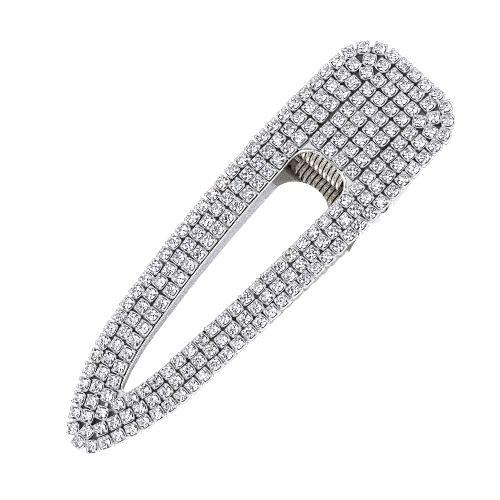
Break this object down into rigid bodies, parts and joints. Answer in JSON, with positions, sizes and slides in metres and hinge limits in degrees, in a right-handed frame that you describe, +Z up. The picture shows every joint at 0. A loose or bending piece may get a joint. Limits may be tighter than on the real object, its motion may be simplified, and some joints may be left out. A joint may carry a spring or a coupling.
{
  "type": "hair clip",
  "caption": "Hollow teardrop spring hair clip: two arched sprung jaws on a hinge pin, the upper one covered with clear rhinestone cup chain.",
  "frame": {"origin": "middle of the bounding box on the table, with the clip closed and lying on its lower jaw", "axes": "+X along the clip towards the handles, +Y across it, +Z up from the table"},
  "size_m": [0.0836, 0.0244, 0.015],
  "materials": {
    "jaw_plate": "polished nickel plating on stamped steel",
    "pin_steel": "bright nickel plating",
    "spring_wire": "bright drawn spring wire",
    "chain_metal": "silver plating on stamped brass cups",
    "crystal": "foil-backed cut clear glass"
  },
  "bodies": {
    "lower_body": {"lower_jaw": "jaw_plate", "torsion_spring": "spring_wire"},
    "upper_body": {"upper_jaw": "jaw_plate", "hinge_pin": "pin_steel", "outer_cups": "chain_metal", "outer_links": "chain_metal", "outer_stones": "crystal", "middle_cups": "chain_metal", "middle_links": "chain_metal", "middle_stones": "crystal", "inner_cups": "chain_metal", "inner_links": "chain_metal", "inner_stones": "crystal", "row_1_cups": "chain_metal", "row_1_links": "chain_metal", "row_1_stones": "crystal", "row_2_cups": "chain_metal", "row_2_links": "chain_metal", "row_2_stones": "crystal", "row_3_cups": "chain_metal", "row_3_links": "chain_metal", "row_3_stones": "crystal", "row_4_cups": "chain_metal", "row_4_links": "chain_metal", "row_4_stones": "crystal"}
  },
  "joints": [
    {"name": "jaw_hinge", "type": "hinge", "parent": "lower_body", "child": "upper_body", "pos_m": [0.02136, 0, 0.0089], "axis": [0, 1, 0], "range_deg": [0, 26], "stiffness_Nm_per_rad": 0.2, "springref_deg": -28.65, "deforming": ["torsion_spring"]}
  ]
}
